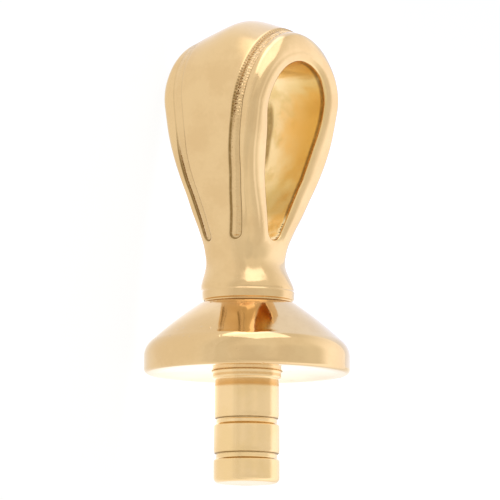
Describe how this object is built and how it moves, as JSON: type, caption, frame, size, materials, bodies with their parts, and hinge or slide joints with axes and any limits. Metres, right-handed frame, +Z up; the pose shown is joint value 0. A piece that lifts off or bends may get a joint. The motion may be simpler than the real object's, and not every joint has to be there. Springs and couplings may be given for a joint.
{
  "type": "bail finding with a cup and peg",
  "caption": "Wide tulip-shaped bail loop on a small conical cup with a grooved peg under it, for hanging a half-drilled bead or pearl from a chain.",
  "frame": {"origin": "centre of the bounding box's base, on the table that the part lies on", "axes": "+Z up from the table, +X roughly along the part's own axis from the loop towards the peg, -Y towards the front of the loop; the chain passes through the eye roughly along Z"},
  "size_m": [0.009, 0.004, 0.004],
  "materials": {
    "loop_gold": "polished pale gold plating",
    "cap_gold": "polished pale gold plating with a few fine pits",
    "peg_gold": "turned and plated, a little less bright than the rest"
  },
  "bodies": {
    "root": {"bail_loop": "loop_gold", "cap": "cap_gold", "peg": "peg_gold"}
  },
  "joints": []
}
